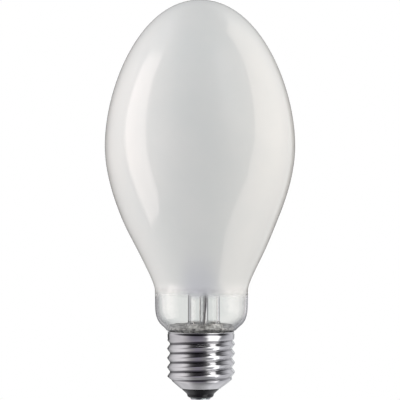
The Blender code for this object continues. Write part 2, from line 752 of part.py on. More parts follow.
def make_straps(metal):
    """The upper strap reaches the side rod and the lower one the front lead."""
    feed_side = FEED_TUBE_RADIUS + SEAT_GAP
    rod_side = FRAME_OFFSET - FRAME_RADIUS - SEAT_GAP
    lead_side = LEAD_RADIUS + SEAT_GAP - LEAD_SPACING / 2
    spans = {
        "upper_strap": (feed_side, rod_side, UPPER_STRAP_HEIGHT),
        "lower_strap": (lead_side, -feed_side, LOWER_STRAP_HEIGHT),
    }
    for name, (start, end, height) in spans.items():
        size = (STRAP_THICKNESS, end - start, STRAP_WIDTH)
        strip(name, (0.0, between(start, end, 0.5), height), size, metal)


def make_getters(metal, getter_metal):
    """Two getter rings, each on a strip from the side rod."""
    height = FRAME_UPRIGHT + GETTER_HEIGHT_ON_ROD
    for name, side in (("left", -1), ("right", 1)):
        getter = ring(
            f"{name}_getter",
            GETTER_BORE_RADIUS,
            GETTER_RADIUS,
            -GETTER_HEIGHT / 2,
            GETTER_HEIGHT / 2,
            SMALL_SEGMENTS,
            getter_metal,
        )
        getter.location = (side * GETTER_SPACING / 2, FRAME_OFFSET, height)
        start = FRAME_RADIUS + SEAT_GAP
        end = GETTER_SPACING / 2 - GETTER_RADIUS - SEAT_GAP
        centre = (side * between(start, end, 0.5), FRAME_OFFSET, height)
        size = (end - start, STRAP_WIDTH / 2, STRAP_THICKNESS)
        strip(f"{name}_getter_holder", centre, size, metal)


def main():
    remove_old_objects()
    clear_glass = material("clear_glass", (0.80, 0.85, 0.88), 0.05, transmission=0.9)
    coated_glass = material("coated_glass", (0.80, 0.82, 0.82), 0.15)
    nickel = material("nickel_plate", (0.72, 0.71, 0.69), 0.25, metallic=1.0)
    black_glass = material("black_glass", (0.012, 0.012, 0.014), 0.08)
    solder = material("solder", (0.62, 0.65, 0.70), 0.35, metallic=1.0)
    cement = material("cement", (0.22, 0.21, 0.20), 0.9)
    lead_metal = material("lead_metal", (0.30, 0.29, 0.28), 0.4, metallic=1.0)
    alumina = material("alumina", (0.88, 0.87, 0.84), 0.5)
    niobium = material("niobium", (0.52, 0.53, 0.56), 0.35, metallic=1.0)
    seal = material("sealing_glass", (0.75, 0.72, 0.66), 0.45)
    tungsten = material("tungsten", (0.40, 0.40, 0.42), 0.4, metallic=1.0)
    amalgam = material("amalgam", (0.70, 0.71, 0.73), 0.2, metallic=1.0)
    getter_metal = material("getter_metal", (0.45, 0.45, 0.46), 0.5, metallic=1.0)
    make_outer_bulb(coated_glass)
    make_screw_shell(nickel)
    make_cap_insulator(black_glass)
    make_contact(nickel, solder)
    make_cement_ring(cement)
    make_stem(clear_glass)
    make_exhaust_tube(clear_glass)
    make_centre_lead(lead_metal)
    make_shell_lead(lead_metal, solder)
    make_arc_tube(alumina, niobium, seal, tungsten, amalgam)
    make_frame(lead_metal)
    make_straps(lead_metal)
    make_getters(lead_metal, getter_metal)


main()
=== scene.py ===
import json
import math

import bpy
import numpy as np
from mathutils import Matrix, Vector


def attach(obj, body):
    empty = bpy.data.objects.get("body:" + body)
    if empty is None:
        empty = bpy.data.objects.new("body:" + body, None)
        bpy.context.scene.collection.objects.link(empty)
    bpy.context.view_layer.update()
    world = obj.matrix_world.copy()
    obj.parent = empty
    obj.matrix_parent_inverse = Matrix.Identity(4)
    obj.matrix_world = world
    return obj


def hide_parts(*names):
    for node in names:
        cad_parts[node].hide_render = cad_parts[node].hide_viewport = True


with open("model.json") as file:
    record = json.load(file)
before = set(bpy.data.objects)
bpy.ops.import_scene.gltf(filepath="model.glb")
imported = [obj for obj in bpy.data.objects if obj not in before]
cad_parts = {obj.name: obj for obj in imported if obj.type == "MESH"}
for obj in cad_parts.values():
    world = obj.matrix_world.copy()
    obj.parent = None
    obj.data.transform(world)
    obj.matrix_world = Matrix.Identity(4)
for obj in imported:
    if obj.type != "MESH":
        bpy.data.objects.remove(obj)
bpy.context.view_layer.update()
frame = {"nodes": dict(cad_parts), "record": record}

# One millimetre in Blender's metres. All sizes below are in millimetres.
MM = 0.001

# Sizes of the CAD part, and the angle at which its thread starts
SHELL_BOTTOM, THREAD_BOTTOM, THREAD_TOP, SHELL_TOP = 5.2, 10.5, 24.8, 27.3
SHELL_WALL, SHELL_MOUTH_RADIUS = 0.25, 7.85
THREAD_PITCH, THREAD_MEAN, THREAD_HALF_DEPTH = 25.4 / 7, 12.65, 0.55
THREAD_PHASE = math.radians(129)
BULB_BOTTOM, FOOT, NECK_TOP, EQUATOR, BULB_TOP = 25.8, 27.9, 43.4, 99.7, 156.7
BULB_WALL, TUCK_TOP, TUCK_RADIUS, FOOT_RADIUS = 0.8, 26.55, 12.35, 13.55
NECK_RADIUS, NECK_TOP_RADIUS, BULB_RADIUS = 18.06, 18.16, 37.1
STEM_OFFSET, STEM_RADIUS, PRESS_THICKNESS, PRESS_BOTTOM, PRESS_TOP = 1.5, 5.9, 3.8, 46.6, 56.6
INSULATOR_TOP, LEAD_HOLE_RADIUS, SEAT_GAP = 8.5, 1.1, 0.2

# Finer sizes of the scene's own, fitted to the photo
SHOULDER_TOP = 37.585
BAND_BOTTOM, BAND_TOP, BAND_RADIUS = 23.3, 26.15, 13.06
LIP_TOP, LIP_RADIUS, RIM_BOTTOM, RIM_RADIUS = 26.88, 12.80, 27.1, 13.04
COAT_EDGE, COAT_FADE, SEAL_TOP = 40.0, 5.4, 30.1

# How far the contact, shell and neck stand to the right, and the heights between which that changes
CONTACT_LEAN, SHELL_LEAN, NECK_LEAN = 0.2, 0.4, 0.55
CONTACT_TO_SHELL, SHELL_TO_NECK, BULB_TO_NECK = (5.0, 7.5), (27.0, 29.5), (72.0, 56.0)

# Share of a third harmonic in the thread's wave, and the heights at which the thread starts and ends
FLANK_SHARE = 0.08
THREAD_START = THREAD_BOTTOM - 2.6, THREAD_BOTTOM - 1.7
THREAD_END = THREAD_TOP - 0.3, THREAD_TOP - 1.1


# Surfaces
def bezier(start, start_handle, end_handle, end, steps):
    """Cubic curve: its corners weighted by (1-t)^3, 3t(1-t)^2, 3t^2(1-t) and t^3, less its first point."""
    t = np.linspace(0, 1, steps + 1)[1:, None]
    corners = [np.array(corner, float) for corner in (start, start_handle, end_handle, end)]
    weights = ((1 - t) ** 3, 3 * t * (1 - t) ** 2, 3 * t * t * (1 - t), t**3)
    return sum(weight * corner for weight, corner in zip(weights, corners))


def rounded(points, radius, steps=4):
    """Profile whose inner corners are cut back by a radius, each bridged by a quadratic curve through it.

    Beside a short side the cut takes less than half of that side.
    """
    points = np.array(points, float)
    out = [points[:1]]
    t = np.linspace(0, 1, steps + 1)[:, None]
    for before, corner, after in zip(points, points[1:], points[2:]):
        back, ahead = before - corner, after - corner
        reach_back = min(radius, 0.45 * np.linalg.norm(back))
        reach_ahead = min(radius, 0.45 * np.linalg.norm(ahead))
        start = corner + back / np.linalg.norm(back) * reach_back
        end = corner + ahead / np.linalg.norm(ahead) * reach_ahead
        out.append((1 - t) ** 2 * start + 2 * t * (1 - t) * corner + t * t * end)
    out.append(points[-1:])
    return np.concatenate(out)


def inward(profile, distance):
    """The profile moved by a distance against its normal, which is its direction turned a quarter turn."""
    run = np.gradient(profile, axis=0)
    run /= np.linalg.norm(run, axis=1, keepdims=True)
    return profile + distance * np.stack([-run[:, 1], run[:, 0]], 1)


def smooth(value, start, end):
    """0 up to start, 1 from end and 3s^2-2s^3 between them."""
    share = np.clip((value - start) / (end - start), 0, 1)
    return share * share * (3 - 2 * share)


def mesh_object(name, verts, faces, material, sharp=35):
    """Object from arrays of vertices and of faces with three or four corners, sharp above an angle."""
    mesh = bpy.data.meshes.new(name)
    mesh.from_pydata(verts * MM, [], [face for block in faces for face in block.tolist()])
    mesh.update()
    mesh.materials.append(material)
    mesh.shade_smooth()
    mesh.set_sharp_from_angle(angle=math.radians(sharp))
    made = bpy.data.objects.new(name, mesh)
    bpy.context.scene.collection.objects.link(made)
    return made


def turned(name, profile, segments, material, shape, sharp=35):
    """Surface of two parameters: (radius, height) of a profile point, turned by an angle round the axis.

    The shape then moves its points. A profile with both ends on the axis gets a pole at each end, and any
    other is closed in a ring.
    """
    profile = np.array(profile, float)
    poles = profile[0, 0] == 0
    rows = profile[1:-1] if poles else profile
    angle = np.arange(segments) / segments * 2 * math.pi
    radius, height = rows[:, :1], np.repeat(rows[:, 1:], segments, 1)
    grid = shape(np.stack([radius * np.cos(angle), radius * np.sin(angle), height], 2))
    index = np.arange(height.size).reshape(height.shape)
    lower = index[:-1] if poles else index
    upper = index[1:] if poles else np.roll(index, -1, 0)
    corners = [lower, np.roll(lower, -1, 1), np.roll(upper, -1, 1), upper]
    verts, faces = grid.reshape(-1, 3), [np.stack(corners, 2).reshape(-1, 4)]
    if poles:
        ends = shape(np.array([[[0, 0, profile[0, 1]]], [[0, 0, profile[-1, 1]]]]))[:, 0]
        first, last = np.full(segments, len(verts)), np.full(segments, len(verts) + 1)
        verts = np.concatenate([verts, ends])
        low, high = index[0], index[-1]
        faces.append(np.stack([first, np.roll(low, -1), low], 1))
        faces.append(np.stack([last, high, np.roll(high, -1)], 1))
    return mesh_object(name, verts, faces, material, sharp)


# Shader nodes
# The range that most of a noise's values lie in
NOISE_RANGE = 0.3, 0.7


class Nodes:
    """Small helper to lay out a node tree."""

    def __init__(self, tree):
        self.tree = tree
        tree.nodes.clear()

    def add(self, kind, **values):
        made = self.tree.nodes.new(kind)
        for name, value in values.items():
            setattr(made, name, value)
        return made

    def feed(self, socket, value):
        """Link the socket to the value where that is a socket as well, and else make it the constant."""
        if isinstance(value, bpy.types.NodeSocket):
            self.tree.links.new(value, socket)
        else:
            socket.default_value = value

    def put(self, node, **inputs):
        for name, value in inputs.items():
            self.feed(node.inputs[name.replace("_", " ")], value)
        return node

    def parts(self, vector):
        """The X, Y and Z of a vector."""
        node = self.add("ShaderNodeSeparateXYZ")
        self.feed(node.inputs[0], vector)
        return node.outputs

    def calc(self, kind, first, second=0.0):
        node = self.add("ShaderNodeMath", operation=kind)
        self.feed(node.inputs[0], first)
        self.feed(node.inputs[1], second)
        return node.outputs[0]

    def ramp(self, value, low, high, from_low=0.0, from_high=1.0, soft=False):
        node = self.add("ShaderNodeMapRange", interpolation_type="SMOOTHSTEP" if soft else "LINEAR")
        self.put(node, Value=value, From_Min=from_low, From_Max=from_high, To_Min=low, To_Max=high)
        return node.outputs["Result"]

    def blend(self, share, first, second, kind="MIX"):
        node = self.add("ShaderNodeMix", data_type="RGBA", blend_type=kind)
        self.feed(node.inputs["Factor"], share)
        for socket, colour in ((node.inputs[6], first), (node.inputs[7], second)):
            self.feed(socket, (*colour, 1.0) if isinstance(colour, tuple) else colour)
        return node.outputs[2]

    def mixed(self, share, first, second):
        node = self.put(self.add("ShaderNodeMixShader"), Fac=share)
        self.feed(node.inputs[1], first)
        self.feed(node.inputs[2], second)
        return node.outputs[0]

    def added(self, first, second):
        node = self.add("ShaderNodeAddShader")
        self.feed(node.inputs[0], first)
        self.feed(node.inputs[1], second)
        return node.outputs[0]

    def seen(self):
        """1 on rays of the camera, straight or through glass, and 0 on all others."""
        path = self.add("ShaderNodeLightPath")
        return self.calc("MAXIMUM", path.outputs["Is Camera Ray"], path.outputs["Is Transmission Ray"])


class Shader(Nodes):
    """Nodes of a new material, which read the place on the object."""

    def __init__(self, name):
        self.material = bpy.data.materials.new(name)
        self.material.use_nodes = True
        super().__init__(self.material.node_tree)
        self.place = self.add("ShaderNodeTexCoord").outputs["Object"]

    def noise(self, scale, detail=3.0, stretch=None):
        place = self.place
        if stretch:
            place = self.put(self.add("ShaderNodeMapping"), Vector=place, Scale=stretch).outputs["Vector"]
        node = self.put(self.add("ShaderNodeTexNoise"), Vector=place, Scale=scale, Detail=detail)
        return node.outputs["Fac"]

    def uneven(self, value, scale, reach):
        """The value moved up or down by up to a reach in millimetres, with a noise."""
        return self.calc("ADD", value, self.ramp(self.noise(scale), -reach * MM, reach * MM, *NOISE_RANGE))

    def rising(self, value, low, high, top=1.0):
        """0 up to the low millimetre and the top from the high one."""
        return self.ramp(value, 0.0, top, low * MM, high * MM, soft=True)

    def falling(self, value, low, high, top=1.0):
        """The top up to the low millimetre and 0 from the high one."""
        return self.ramp(value, top, 0.0, low * MM, high * MM, soft=True)

    def bump(self, value, strength, distance):
        """Relief of a distance in millimetres."""
        node = self.put(self.add("ShaderNodeBump"), Height=value, Strength=strength, Distance=distance * MM)
        return node.outputs["Normal"]

    def principled(self, **inputs):
        return self.put(self.add("ShaderNodeBsdfPrincipled"), **inputs).outputs[0]

    def transparent(self):
        return self.add("ShaderNodeBsdfTransparent").outputs[0]

    def clear(self, body, rim, edge):
        """Smooth glass with faint streaks, whose colour is painted darker towards its rim, where the eye
        looks along the wall.

        This painted dark outline starts at the edge, a share of Layer Weight's Facing, and is painted near
        black low on the neck.
        """
        streaks = self.noise(90, 2.0, (1, 1, 0.25))
        facing = self.put(self.add("ShaderNodeLayerWeight"), Blend=0.5).outputs["Facing"]
        # Painted shade: towards the rim the colour turns dark, and near black low on the neck
        share = self.ramp(facing, 0.0, 1.0, edge, 1.0, soft=True)
        light = tuple(min(1.0, level + 0.02) for level in body)
        dark = self.blend(self.falling(self.parts(self.place)["Z"], 29.0, 37.0), rim, (0.01, 0.01, 0.01))
        return self.principled(
            Base_Color=self.blend(share, self.blend(streaks, body, light), dark),
            Roughness=0.0,
            IOR=1.5,
            Specular_Tint=(0.4, 0.4, 0.4, 1.0),
            Transmission_Weight=1.0,
            Normal=self.bump(streaks, 0.05, 0.2),
        )

    def passing(self, surface):
        """The surface for the eye, while rays of light, shadow and mirror images pass straight through."""
        path = self.add("ShaderNodeLightPath")
        straight = self.calc("MAXIMUM", path.outputs["Is Shadow Ray"], path.outputs["Is Diffuse Ray"])
        mirrored = self.calc("SUBTRACT", path.outputs["Is Glossy Ray"], path.outputs["Is Transmission Ray"])
        return self.mixed(self.calc("MAXIMUM", straight, mirrored), surface, self.transparent())

    def done(self, shader):
        self.put(self.add("ShaderNodeOutputMaterial"), Surface=shader)
        return self.material


# Materials
# Clear glass: the colour of its body, the painted shade of its rim, and where that painted rim shade starts
BULB_CLEAR = (0.848, 0.858, 0.848), (0.48, 0.48, 0.49), 0.28
STEM_CLEAR = (0.975, 0.98, 0.98), (0.01, 0.01, 0.02), 0.45
# Powder coat: its two tones, its tone low on the bulb, the shade painted on it in front of the stem, and
# the share of the lights that it lets through
COAT_TONES = (0.775, 0.790, 0.785), (0.800, 0.808, 0.800)
COAT_LOW, COAT_PAINTED_SHADE = (0.845, 0.855, 0.850), (0.675, 0.685, 0.725)
COAT_LET_THROUGH = 0.8
# Seal of stem and bulb: the dark and pale grains of its under side, a paler copy painted on its upper side
# as painted light, and how much they hide
SEAL_UNDER = (0.04, 0.038, 0.035), (0.66, 0.65, 0.63)
SEAL_UPPER_PAINTED_LIGHT = (0.16, 0.155, 0.15), (1.0, 1.0, 0.98)
SEAL_COVER = 0.85
# Shell: the two tones of its nickel, and the colour and strength of the shade painted into its grooves and
# creases
NICKEL_TONES = (0.64, 0.63, 0.64), (0.74, 0.73, 0.735)
PAINTED_SHADE_TONE, PAINTED_SHADE_STRENGTH = (0.05, 0.048, 0.056), 0.88


def coated_glass():
    """White powder coat behind smooth glass, which thins out to clear glass low on the neck.

    The coat is a little paler just above that, and a bluish-grey shade is painted on it in front of the
    stem.
    """
    s = Shader("coated_glass")
    parts = s.parts(s.place)
    across, height = parts["X"], parts["Z"]
    cloud = s.noise(60)
    body = s.blend(s.ramp(cloud, 0.0, 1.0, 0.35, 0.65), *COAT_TONES)
    body = s.blend(s.falling(height, 42.5, 48.0), body, COAT_LOW)
    # Painted shade: a bluish grey near the axis below 64 mm, where the stem stands behind the coat
    stem_shade_across = s.falling(s.calc("ABSOLUTE", across), 2.0, 10.5)
    painted_stem_shade = s.calc("MULTIPLY", stem_shade_across, s.falling(height, 43.0, 64.0))
    coat = s.principled(
        Base_Color=s.blend(painted_stem_shade, body, COAT_PAINTED_SHADE),
        Roughness=s.ramp(cloud, 0.03, 0.05, *NOISE_RANGE),
        IOR=1.5,
        Normal=s.bump(s.noise(900, 2.0), 0.02, 0.05),
    )
    shadow_ray = s.add("ShaderNodeLightPath").outputs["Is Shadow Ray"]
    powder = s.mixed(s.calc("MULTIPLY", shadow_ray, COAT_LET_THROUGH), coat, s.transparent())
    cover = s.rising(s.uneven(height, 110, 0.9), COAT_EDGE, COAT_EDGE + COAT_FADE)
    return s.done(s.mixed(cover, s.passing(s.clear(*BULB_CLEAR)), powder))


def clear_glass():
    """Clear glass of the exhaust tube."""
    s = Shader("clear_glass")
    return s.done(s.passing(s.clear(*STEM_CLEAR)))


def stem_clear_glass():
    """Clear glass that is grainy where it is fused to the bulb, below an uneven line and off the axis.

    Just above that line the glass is fainter.
    """
    s = Shader("stem_clear_glass")
    height = s.parts(s.place)["Z"]
    grain = s.noise(620, 4.0)
    share = s.ramp(grain, 0.0, 1.0, 0.40, 0.62)
    # Painted light: above 29 mm the seal's grains are painted paler, as if lit from above
    tone = s.blend(s.rising(height, 28.8, 29.7), s.blend(share, *SEAL_UNDER), s.blend(share, *SEAL_UPPER_PAINTED_LIGHT))
    fused = s.principled(Base_Color=tone, Roughness=0.35, Normal=s.bump(grain, 0.5, 0.3))
    level = s.put(s.add("ShaderNodeMapping"), Vector=s.place, Scale=(1, 1, 0)).outputs["Vector"]
    radius = s.add("ShaderNodeVectorMath", operation="LENGTH")
    s.feed(radius.inputs[0], level)
    ring = s.rising(radius.outputs["Value"], 5.0, 5.8)
    below = s.falling(s.uneven(height, 330, 0.6), SEAL_TOP - 0.4, SEAL_TOP + 0.4, SEAL_COVER)
    glass = s.mixed(s.calc("MULTIPLY", ring, below), s.clear(*STEM_CLEAR), fused)
    above = s.ramp(height, 0.0, 1.0, 29.9 * MM, 30.1 * MM)
    unseen = s.calc("MULTIPLY", above, s.falling(height, 30.2, 31.6, 0.65))
    return s.done(s.passing(s.mixed(unseen, glass, s.transparent())))


def nickel_plate():
    """Bright nickel with a faint haze, painted shade in its grooves and creases, and fine turning marks
    round the shell.
    """
    s = Shader("nickel_plate")
    haze = s.noise(140, 4.0)
    # Painted shade of the shell's grooves and creases, stored at each point
    painted_cap_shade = s.add("ShaderNodeAttribute", attribute_name="painted_cap_shade").outputs["Fac"]
    plate = s.blend(s.ramp(haze, 0.0, 1.0, 0.35, 0.7), *NICKEL_TONES)
    return s.done(s.principled(
        Base_Color=s.blend(s.calc("MULTIPLY", painted_cap_shade, PAINTED_SHADE_STRENGTH), plate, PAINTED_SHADE_TONE),
        Metallic=1.0,
        Roughness=s.ramp(haze, 0.05, 0.10, *NOISE_RANGE),
        Normal=s.bump(s.noise(60, 4.0, (1, 1, 40)), 0.10, 0.04),
    ))


def grained(name, dark, light, grain, rough, metallic, relief, **inputs):
    """Colour and roughness that vary with one noise, and a finer relief in millimetres."""
    s = Shader(name)
    spots = s.noise(grain, 4.0)
    return s.done(s.principled(
        Base_Color=s.blend(s.ramp(spots, 0.0, 1.0, *NOISE_RANGE), dark, light),
        Metallic=metallic,
        Roughness=s.ramp(spots, *rough, *NOISE_RANGE),
        Normal=s.bump(s.noise(grain * 3), 0.6, relief),
        **inputs,
    ))


# The stem's finish adds the seal to that of its slot
stem_clear = stem_clear_glass()
# Finish of each slot: a grained one has its dark and light colour, its noise's scale, its least and most
# roughness, its metal and its relief
FINISHES = {
    "coated_glass": coated_glass(),
    "clear_glass": clear_glass(),
    "nickel_plate": nickel_plate(),
    "black_glass": grained(
        "black_glass", (0.002, 0.002, 0.003), (0.006, 0.006, 0.007), 300, (0.06, 0.16), 0.0, 0.02,
        Specular_IOR_Level=0.32),
    "contact_metal": grained(
        "contact_metal", (0.56, 0.64, 0.63), (0.76, 0.84, 0.83), 500, (0.25, 0.45), 1.0, 0.03),
    "solder": grained(
        "solder", (0.48, 0.50, 0.54), (0.72, 0.74, 0.78), 700, (0.28, 0.50), 1.0, 0.06),
    "cement": grained(
        "cement", (0.10, 0.095, 0.09), (0.42, 0.41, 0.40), 900, (0.8, 1.0), 0.0, 0.4),
    "lead_metal": grained(
        "lead_metal", (0.34, 0.33, 0.32), (0.50, 0.49, 0.48), 600, (0.25, 0.4), 1.0, 0.02),
    "alumina": grained(
        "alumina", (0.84, 0.83, 0.80), (0.92, 0.91, 0.88), 350, (0.4, 0.6), 0.0, 0.02,
        Subsurface_Weight=0.3),
    "niobium": grained(
        "niobium", (0.46, 0.47, 0.50), (0.58, 0.59, 0.62), 800, (0.3, 0.45), 1.0, 0.02),
    "sealing_glass": grained(
        "sealing_glass", (0.62, 0.58, 0.50), (0.80, 0.77, 0.70), 900, (0.3, 0.6), 0.0, 0.04),
    "tungsten": grained(
        "tungsten", (0.30, 0.30, 0.32), (0.46, 0.46, 0.48), 1500, (0.35, 0.5), 1.0, 0.01),
    "amalgam": grained(
        "amalgam", (0.62, 0.63, 0.65), (0.78, 0.79, 0.80), 1200, (0.1, 0.25), 1.0, 0.02),
    "getter_metal": grained(
        "getter_metal", (0.30, 0.30, 0.31), (0.52, 0.52, 0.53), 900, (0.45, 0.7), 1.0, 0.05),
}


# Bulb
def bulb_outline(steps, bend):
    """Tuck, shoulder, flank and crown of the bulb, each a cubic curve fitted to the photo's outline."""
    foot, neck_top, equator = (FOOT_RADIUS, FOOT), (NECK_TOP_RADIUS, NECK_TOP), (BULB_RADIUS, EQUATOR)
    tuck = bezier((TUCK_RADIUS, TUCK_TOP), (TUCK_RADIUS, 27.6), (12.9, 27.6), foot, bend)
    shoulder = bezier(foot, (14.897, 29.96), (NECK_RADIUS, 30.114), (NECK_RADIUS, SHOULDER_TOP), 2 * bend)
    neck = [(18.08, 39.5), (18.12, 41.5), neck_top]
    flank = bezier(neck_top, (NECK_TOP_RADIUS, 49.87), (BULB_RADIUS, 75.49), equator, steps)
    crown = bezier(equator, (BULB_RADIUS, 122.5), (23.37, BULB_TOP), (0.0, BULB_TOP), steps)
    edge = [(TUCK_RADIUS, BULB_BOTTOM), (TUCK_RADIUS, TUCK_TOP)]
    return np.concatenate([edge, tuck, shoulder, neck, flank, crown])


def bulb_shape(grid):
    """The neck and shoulder stand a little to one side of the bulb, as they were blown."""
    grid = grid.copy()
    height = grid[..., 2]
    lean = SHELL_LEAN + (NECK_LEAN - SHELL_LEAN) * smooth(height, *SHELL_TO_NECK)
    grid[..., 0] += lean * smooth(height, *BULB_TO_NECK)
    return grid


def make_bulb():
    outside = bulb_outline(40, 8)
    inside = inward(bulb_outline(24, 6), BULB_WALL)
    inside[0, 1] = BULB_BOTTOM
    inside[-1] = (0.0, BULB_TOP - BULB_WALL)
    profile = np.concatenate([inside[::-1], outside])
    return turned("bulb_glass", profile, 128, FINISHES["coated_glass"], bulb_shape)


# Cap
def cap_lean(height):
    """How far the cap stands to one side: a little at the contact, and more from the cone upwards."""
    return CONTACT_LEAN + (SHELL_LEAN - CONTACT_LEAN) * smooth(height, *CONTACT_TO_SHELL)


def cap_shape(grid):
    grid = grid.copy()
    grid[..., 0] += cap_lean(grid[..., 2])
    return grid


def thread_level(x, y, z):
    """Cosine of height over pitch less angle over a turn, with some third harmonic for straight flanks.

    It is 1 on a crest and -1 in a groove, and fades out at both ends.
    """
    turns = (z - THREAD_TOP) / THREAD_PITCH - (np.arctan2(y, x) + THREAD_PHASE) / (2 * math.pi)
    wave = np.cos(2 * math.pi * turns) + FLANK_SHARE * np.cos(6 * math.pi * turns)
    fade = smooth(z, *THREAD_START) * smooth(z, *THREAD_END)
    return wave / (1 + FLANK_SHARE) * fade


def shell_shape(grid):
    """Each point moves out by half the thread's depth times its level, and then leans with the cap."""
    x, y, z = grid[..., 0], grid[..., 1], grid[..., 2]
    stretch = 1 + THREAD_HALF_DEPTH * thread_level(x, y, z) / np.hypot(x, y)
    return cap_shape(grid * np.stack([stretch, stretch, np.ones_like(stretch)], 2))


def cone(steps):
    """The shell's cone, one cubic curve from its mouth to the foot of the thread."""
    mouth, top = (SHELL_MOUTH_RADIUS, SHELL_BOTTOM), (THREAD_MEAN, THREAD_BOTTOM)
    return bezier(mouth, (10.288, 7.214), (THREAD_MEAN, 8.645), top, steps)


def shell_outline():
    """Outside of the shell: cone, middle of the thread, plain band, lip, bead and rim."""
    rise = np.linspace(THREAD_BOTTOM, BAND_BOTTOM, 109)[1:]
    thread = np.stack([np.full_like(rise, THREAD_MEAN), rise], 1)
    foot, band_top = (THREAD_MEAN, BAND_BOTTOM), (BAND_RADIUS, BAND_TOP)
    lip_top, rim_foot = (LIP_RADIUS, LIP_TOP), (RIM_RADIUS, RIM_BOTTOM)
    band = bezier(foot, (THREAD_MEAN, 23.9), (BAND_RADIUS, 24.2), band_top, 22)
    lip = bezier(band_top, (13.02, 26.3), (12.84, 26.7), lip_top, 9)
    bead = bezier(lip_top, (LIP_RADIUS, 26.96), (RIM_RADIUS, 26.96), rim_foot, 6)
    rim = bezier(rim_foot, (RIM_RADIUS, 27.24), (12.95, SHELL_TOP), (12.86, SHELL_TOP), 5)
    return np.concatenate([[(SHELL_MOUTH_RADIUS, SHELL_BOTTOM)], cone(24), thread, band, lip, bead, rim])


# Shade painted on the shell, where an azimuth of 0 faces the camera and is positive to the right
GROOVE_SHADE_AZIMUTH = -30
GROOVE_SHADE_LEVELS = -0.30, -0.95
RIM_SHADE_HEIGHT, RIM_SHADE_REACH, RIM_SHADE_AZIMUTH = 26.6, (0.42, 0.25), (66, 36)
CONE_SHADE_AZIMUTH, CONE_SHADE_HEIGHT, CONE_SHADE_WIDTH, CONE_SHADE_REACH, CONE_SHADE_FADE = 2, 8.8, 42, 0.7, (1, 0.4)


def add_painted_shade(made):
    """Painted shade of 0 to 1 at each point: in the grooves, most on the front-left, in the crease under
    the rim and on the upper cone.
    """
    place = np.empty(len(made.data.vertices) * 3)
    made.data.vertices.foreach_get("co", place)
    x, y, z = place.reshape(-1, 3).T / MM
    x = x - cap_lean(z)
    azimuth = np.degrees(np.arctan2(x, -y))
    # Painted shade in the grooves, strongest on the front-left
    groove_shade_side = 0.5 + 0.5 * np.cos(np.radians(azimuth - GROOVE_SHADE_AZIMUTH))
    groove_shade = groove_shade_side * smooth(thread_level(x, y, z), *GROOVE_SHADE_LEVELS)
    # Painted shade in the crease under the rim, on the front only
    rim_shade = smooth(np.abs(z - RIM_SHADE_HEIGHT), *RIM_SHADE_REACH)
    rim_shade = rim_shade * smooth(np.abs(azimuth), *RIM_SHADE_AZIMUTH)
    # Painted shade on the front of the upper cone, where it meets the thread
    away = np.hypot((azimuth - CONE_SHADE_AZIMUTH) / CONE_SHADE_WIDTH, (z - CONE_SHADE_HEIGHT) / CONE_SHADE_REACH)
    painted_cap_shade = np.clip(groove_shade + rim_shade + smooth(away, *CONE_SHADE_FADE), 0, 1)
    made.data.attributes.new("painted_cap_shade", "FLOAT", "POINT").data.foreach_set("value", painted_cap_shade)


def make_shell():
    outside = shell_outline()
    inside = np.concatenate([inward(outside, SHELL_WALL)[:-2][::2], [(12.68, RIM_BOTTOM)]])
    inside[0, 1] = SHELL_BOTTOM
    profile = np.concatenate([outside, inside[::-1]])
    made = turned("screw_shell_plate", profile, 168, FINISHES["nickel_plate"], shell_shape, sharp=50)
    add_painted_shade(made)
    return made


def make_insulator():
    """Black glass with a flat end, a flank that widens upwards and a top that fills the shell's cone."""
    end = rounded([(LEAD_HOLE_RADIUS, 1.5), (4.2, 1.5), (5.03, 1.98), (5.3, 2.98)], 0.35)
    flank = bezier((5.3, 2.98), (5.47, 3.28), (6.94, 4.46), (7.4, 5.0), 12)
    seat = inward(cone(16), SHELL_WALL + SEAT_GAP)
    seat = seat[seat[:, 1] < INSULATOR_TOP - 0.1]
    top = [(seat[-1, 0] - 0.6, INSULATOR_TOP), (LEAD_HOLE_RADIUS, INSULATOR_TOP)]
    profile = np.concatenate([end, flank, [(7.4, 5.05)], seat, top])
    return turned("insulator_glass", profile, 96, FINISHES["black_glass"], cap_shape)


def make_contact():
    corners = [(0.65, 0.6), (2.7, 0.6), (3.5, 0.75), (3.9, 1.05), (3.9, 1.44), (0.65, 1.44), (0.65, 0.6)]
    plate = rounded(corners, 0.2)[:-1]
    return turned("contact_plate", plate, 64, FINISHES["contact_metal"], cap_shape)


# Stem
# Radius and height of its corners, outside from the foot up and inside the same way
STEM_OUTSIDE = [
    (11.35, 25.8), (11.35, 27.7), (12.2, 28.0), (12.95, 28.8), (12.95, 29.3), (12.2, 29.5), (11.2, 29.3),
    (7.6, 29.1), (6.6, 30.1), (6.15, 31.4), (6.15, 38.4), (6.15, PRESS_BOTTOM), (5.9, 48.4), (5.9, 50.2),
    (5.9, 56.2), (5.5, PRESS_TOP), (0.0, PRESS_TOP)]
STEM_INSIDE = [
    (10.55, 25.8), (10.55, 28.1), (10.15, 28.45), (6.8, 28.45), (5.8, 29.0), (5.35, 31.4), (5.35, 38.4),
    (5.3, 43.03), (3.06, 45.58), (0.0, PRESS_BOTTOM)]


def stem_shape(grid):
    """The tube stands beside the axis and is pressed flat above, while the seal leans with the shell."""
    height, radius = grid[..., 2], np.hypot(grid[..., 0], grid[..., 1])
    pressed = smooth(height, PRESS_BOTTOM, 50.2)
    shrink = 1 - (1 - PRESS_THICKNESS / (2 * STEM_RADIUS)) * pressed
    grid = grid * np.stack([shrink, np.ones_like(height), np.ones_like(height)], 2)
    tube = smooth(radius, 9.55, 7.5) * smooth(height, FOOT, 29.4)
    grid[..., 0] += STEM_OFFSET * tube + SHELL_LEAN * (1 - tube)
    return grid


def make_stem():
    profile = np.concatenate([rounded(STEM_INSIDE, 0.4)[::-1], rounded(STEM_OUTSIDE, 0.4)])
    return turned("stem_glass", profile, 72, stem_clear, stem_shape)


bulb = make_bulb()
shell = make_shell()
insulator = make_insulator()
contact = make_contact()
stem = make_stem()

